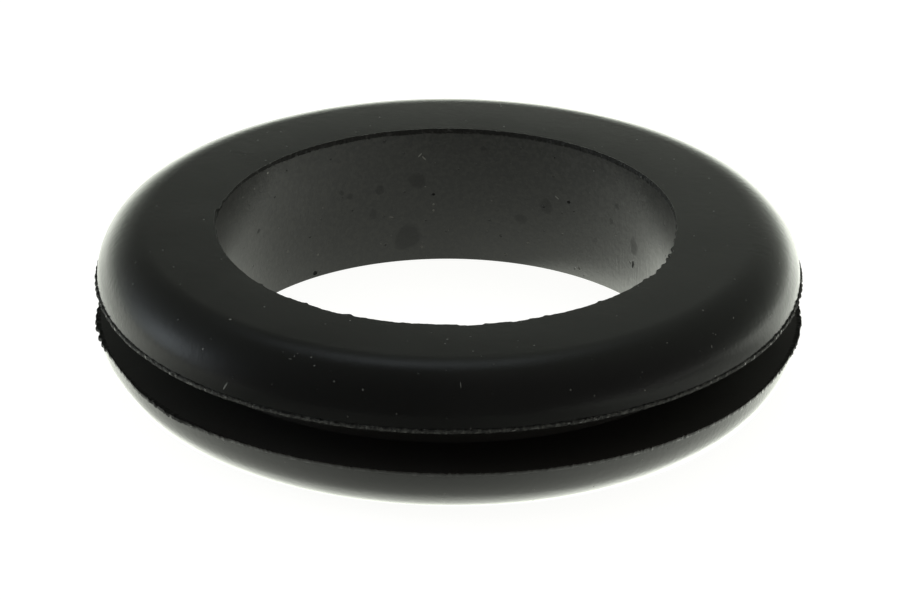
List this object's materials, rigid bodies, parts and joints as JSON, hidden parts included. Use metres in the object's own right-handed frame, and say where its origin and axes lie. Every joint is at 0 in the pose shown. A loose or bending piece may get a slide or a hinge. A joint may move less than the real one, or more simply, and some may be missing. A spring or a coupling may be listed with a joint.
{
  "type": "rubber grommet",
  "caption": "Open moulded rubber ring with rounded flanges and a groove that grips a panel hole's edge, so that a cable or hose can pass through its bore.",
  "frame": {"origin": "centre of the bore, midway through the panel groove", "axes": "+Z along the bore's axis, square to the panel, with the bore's torn edge on top"},
  "size_m": [0.0304, 0.0304, 0.0066],
  "materials": {
    "rubber": "satin black moulded rubber"
  },
  "bodies": {
    "root": {"grommet": "rubber"}
  },
  "joints": []
}
